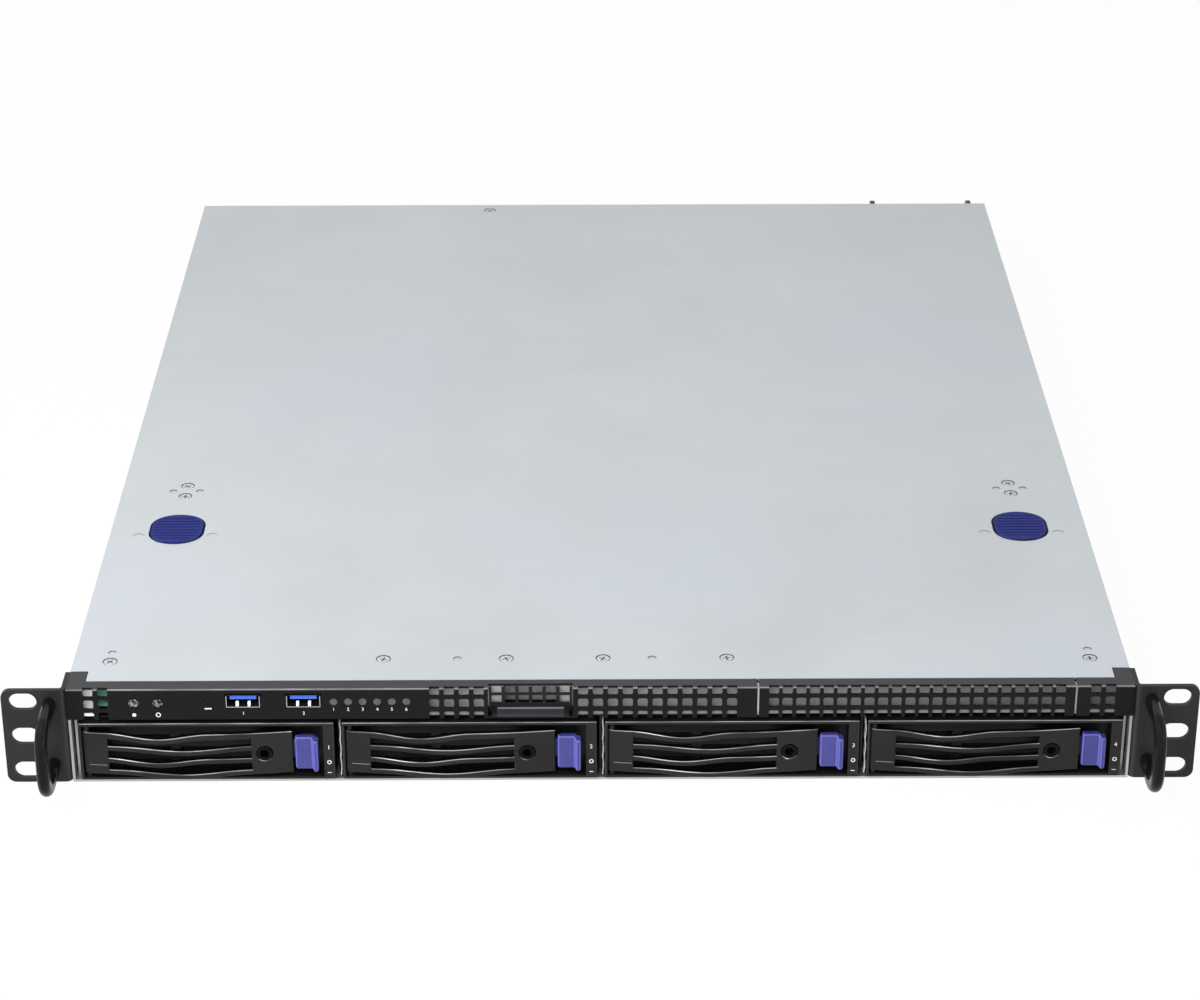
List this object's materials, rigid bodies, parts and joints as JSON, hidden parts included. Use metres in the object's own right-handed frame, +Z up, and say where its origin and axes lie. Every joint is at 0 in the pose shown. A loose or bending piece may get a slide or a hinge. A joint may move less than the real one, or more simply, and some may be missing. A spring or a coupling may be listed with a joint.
{
  "type": "rack server",
  "caption": "One-unit 19-inch rack server with hot-swap drive trays, louvred tray levers, rack ears with handles, a lift-off lid and plug-in power supplies.",
  "frame": {"origin": "on the underside of the case, centred across its width, in the plane of the rack ears' rear faces, which lie against the rack", "axes": "+X to the right seen from the front, +Y from the front to the back, +Z up"},
  "size_m": [0.4826, 0.591, 0.0439],
  "materials": {
    "galvanised_steel": "matt zinc",
    "black_steel": "fine matt black powder coat",
    "black_handle": "black anodised, satin",
    "black_plastic": "matt moulded",
    "purple_plastic": "satin moulded",
    "deep_purple_plastic": "satin moulded, ribbed",
    "chrome_plated": "polished",
    "clear_lens": "diffusing",
    "steel_fastener": "zinc plated",
    "drive_alloy": "cast",
    "bare_aluminium": "extruded",
    "circuit_green": "solder mask",
    "port_steel": "tin plated",
    "supply_steel": "matt plated",
    "dark_plastic": "moulded"
  },
  "bodies": {
    "case": {"chassis_tray": "galvanised_steel", "front_panel": "black_steel", "rack_ear_left": "black_steel", "rack_ear_right": "black_steel", "handle_left": "black_handle", "handle_right": "black_handle", "ear_screws": "steel_fastener", "drive_cage": "galvanised_steel", "backplane": "circuit_green", "fan_frames": "dark_plastic", "motherboard": "circuit_green", "cpu_heatsink": "bare_aluminium", "memory_modules": "circuit_green", "rear_ports": "port_steel", "io_shield": "port_steel", "riser_card": "circuit_green", "slot_cover": "galvanised_steel", "psu_cage": "galvanised_steel", "front_board": "circuit_green", "usb_ports": "port_steel", "led_lenses": "clear_lens", "optical_filler": "black_steel"},
    "tray_1": {"drive_tray_1": "black_plastic", "hard_drive_1": "drive_alloy"},
    "lever_1": {"tray_lever_1": "black_plastic"},
    "latch_1": {"tray_latch_1": "purple_plastic"},
    "lock_1": {"tray_lock_1": "dark_plastic"},
    "tray_2": {"drive_tray_2": "black_plastic", "hard_drive_2": "drive_alloy"},
    "lever_2": {"tray_lever_2": "black_plastic"},
    "latch_2": {"tray_latch_2": "purple_plastic"},
    "lock_2": {"tray_lock_2": "dark_plastic"},
    "tray_3": {"drive_tray_3": "black_plastic", "hard_drive_3": "drive_alloy"},
    "lever_3": {"tray_lever_3": "black_plastic"},
    "latch_3": {"tray_latch_3": "purple_plastic"},
    "lock_3": {"tray_lock_3": "dark_plastic"},
    "tray_4": {"drive_tray_4": "black_plastic", "hard_drive_4": "drive_alloy"},
    "lever_4": {"tray_lever_4": "black_plastic"},
    "latch_4": {"tray_latch_4": "purple_plastic"},
    "lock_4": {"tray_lock_4": "dark_plastic"},
    "power_button_cap": {"power_button": "chrome_plated"},
    "id_button_cap": {"id_button": "chrome_plated"},
    "reset_button_cap": {"reset_button": "dark_plastic"},
    "tag": {"service_tag": "black_plastic"},
    "cover": {"top_cover": "galvanised_steel", "cover_screws": "steel_fastener"},
    "release_left": {"cover_button_left": "deep_purple_plastic"},
    "release_right": {"cover_button_right": "deep_purple_plastic"},
    "rotor_1": {"fan_rotor_1": "dark_plastic"},
    "rotor_2": {"fan_rotor_2": "dark_plastic"},
    "rotor_3": {"fan_rotor_3": "dark_plastic"},
    "rotor_4": {"fan_rotor_4": "dark_plastic"},
    "supply_1": {"psu_module_1": "supply_steel", "psu_handle_1": "dark_plastic"},
    "supply_latch_1": {"psu_latch_1": "purple_plastic"},
    "supply_2": {"psu_module_2": "supply_steel", "psu_handle_2": "dark_plastic"},
    "supply_latch_2": {"psu_latch_2": "purple_plastic"}
  },
  "joints": [
    {"name": "tray_1_slide", "type": "slide", "parent": "case", "child": "tray_1", "axis": [0, -1, 0], "range_m": [0, 0.19]},
    {"name": "lever_1_hinge", "type": "hinge", "parent": "tray_1", "child": "lever_1", "pos_m": [-0.2082, 0.0001, 0.0138], "axis": [0, 0, -1], "range_deg": [0, 75]},
    {"name": "latch_1_slide", "type": "slide", "parent": "tray_1", "child": "latch_1", "axis": [1, 0, 0], "range_m": [0, 0.002], "stiffness_N_per_m": 700},
    {"name": "lock_1_turn", "type": "hinge", "parent": "lever_1", "child": "lock_1", "pos_m": [-0.1363, 0, 0.0138], "axis": [0, 1, 0], "range_deg": [0, 90]},
    {"name": "tray_2_slide", "type": "slide", "parent": "case", "child": "tray_2", "axis": [0, -1, 0], "range_m": [0, 0.19]},
    {"name": "lever_2_hinge", "type": "hinge", "parent": "tray_2", "child": "lever_2", "pos_m": [-0.1018, 0.0001, 0.0138], "axis": [0, 0, -1], "range_deg": [0, 75]},
    {"name": "latch_2_slide", "type": "slide", "parent": "tray_2", "child": "latch_2", "axis": [1, 0, 0], "range_m": [0, 0.002], "stiffness_N_per_m": 700},
    {"name": "lock_2_turn", "type": "hinge", "parent": "lever_2", "child": "lock_2", "pos_m": [-0.0299, 0, 0.0138], "axis": [0, 1, 0], "range_deg": [0, 90]},
    {"name": "tray_3_slide", "type": "slide", "parent": "case", "child": "tray_3", "axis": [0, -1, 0], "range_m": [0, 0.19]},
    {"name": "lever_3_hinge", "type": "hinge", "parent": "tray_3", "child": "lever_3", "pos_m": [0.0046, 0.0001, 0.0138], "axis": [0, 0, -1], "range_deg": [0, 75]},
    {"name": "latch_3_slide", "type": "slide", "parent": "tray_3", "child": "latch_3", "axis": [1, 0, 0], "range_m": [0, 0.002], "stiffness_N_per_m": 700},
    {"name": "lock_3_turn", "type": "hinge", "parent": "lever_3", "child": "lock_3", "pos_m": [0.0765, 0, 0.0138], "axis": [0, 1, 0], "range_deg": [0, 90]},
    {"name": "tray_4_slide", "type": "slide", "parent": "case", "child": "tray_4", "axis": [0, -1, 0], "range_m": [0, 0.19]},
    {"name": "lever_4_hinge", "type": "hinge", "parent": "tray_4", "child": "lever_4", "pos_m": [0.111, 0.0001, 0.0138], "axis": [0, 0, -1], "range_deg": [0, 75]},
    {"name": "latch_4_slide", "type": "slide", "parent": "tray_4", "child": "latch_4", "axis": [1, 0, 0], "range_m": [0, 0.002], "stiffness_N_per_m": 700},
    {"name": "lock_4_turn", "type": "hinge", "parent": "lever_4", "child": "lock_4", "pos_m": [0.1829, 0, 0.0138], "axis": [0, 1, 0], "range_deg": [0, 90]},
    {"name": "power_button_press", "type": "slide", "parent": "case", "child": "power_button_cap", "axis": [0, 1, 0], "range_m": [0, 0.0007], "stiffness_N_per_m": 1200},
    {"name": "id_button_press", "type": "slide", "parent": "case", "child": "id_button_cap", "axis": [0, 1, 0], "range_m": [0, 0.0007], "stiffness_N_per_m": 1200},
    {"name": "reset_button_press", "type": "slide", "parent": "case", "child": "reset_button_cap", "axis": [0, 1, 0], "range_m": [0, 0.0005], "stiffness_N_per_m": 1200},
    {"name": "tag_slide", "type": "slide", "parent": "case", "child": "tag", "axis": [0, -1, 0], "range_m": [0, 0.06]},
    {"name": "cover_lift", "type": "slide", "parent": "case", "child": "cover", "axis": [0, 0, 1], "range_m": [0, 0.12]},
    {"name": "release_left_press", "type": "slide", "parent": "cover", "child": "release_left", "axis": [0, 0, -1], "range_m": [0, 0.002], "stiffness_N_per_m": 1500},
    {"name": "release_right_press", "type": "slide", "parent": "cover", "child": "release_right", "axis": [0, 0, -1], "range_m": [0, 0.002], "stiffness_N_per_m": 1500},
    {"name": "fan_1_spin", "type": "hinge", "parent": "case", "child": "rotor_1", "pos_m": [-0.176, 0.188, 0.021], "axis": [0, 1, 0], "continuous": true},
    {"name": "fan_2_spin", "type": "hinge", "parent": "case", "child": "rotor_2", "pos_m": [-0.098, 0.188, 0.021], "axis": [0, 1, 0], "continuous": true},
    {"name": "fan_3_spin", "type": "hinge", "parent": "case", "child": "rotor_3", "pos_m": [-0.02, 0.188, 0.021], "axis": [0, 1, 0], "continuous": true},
    {"name": "fan_4_spin", "type": "hinge", "parent": "case", "child": "rotor_4", "pos_m": [0.058, 0.188, 0.021], "axis": [0, 1, 0], "continuous": true},
    {"name": "supply_1_slide", "type": "slide", "parent": "case", "child": "supply_1", "axis": [0, 1, 0], "range_m": [0, 0.2]},
    {"name": "supply_1_latch", "type": "slide", "parent": "supply_1", "child": "supply_latch_1", "axis": [1, 0, 0], "range_m": [0, 0.0025], "stiffness_N_per_m": 900},
    {"name": "supply_2_slide", "type": "slide", "parent": "case", "child": "supply_2", "axis": [0, 1, 0], "range_m": [0, 0.2]},
    {"name": "supply_2_latch", "type": "slide", "parent": "supply_2", "child": "supply_latch_2", "axis": [1, 0, 0], "range_m": [0, 0.0025], "stiffness_N_per_m": 900}
  ]
}
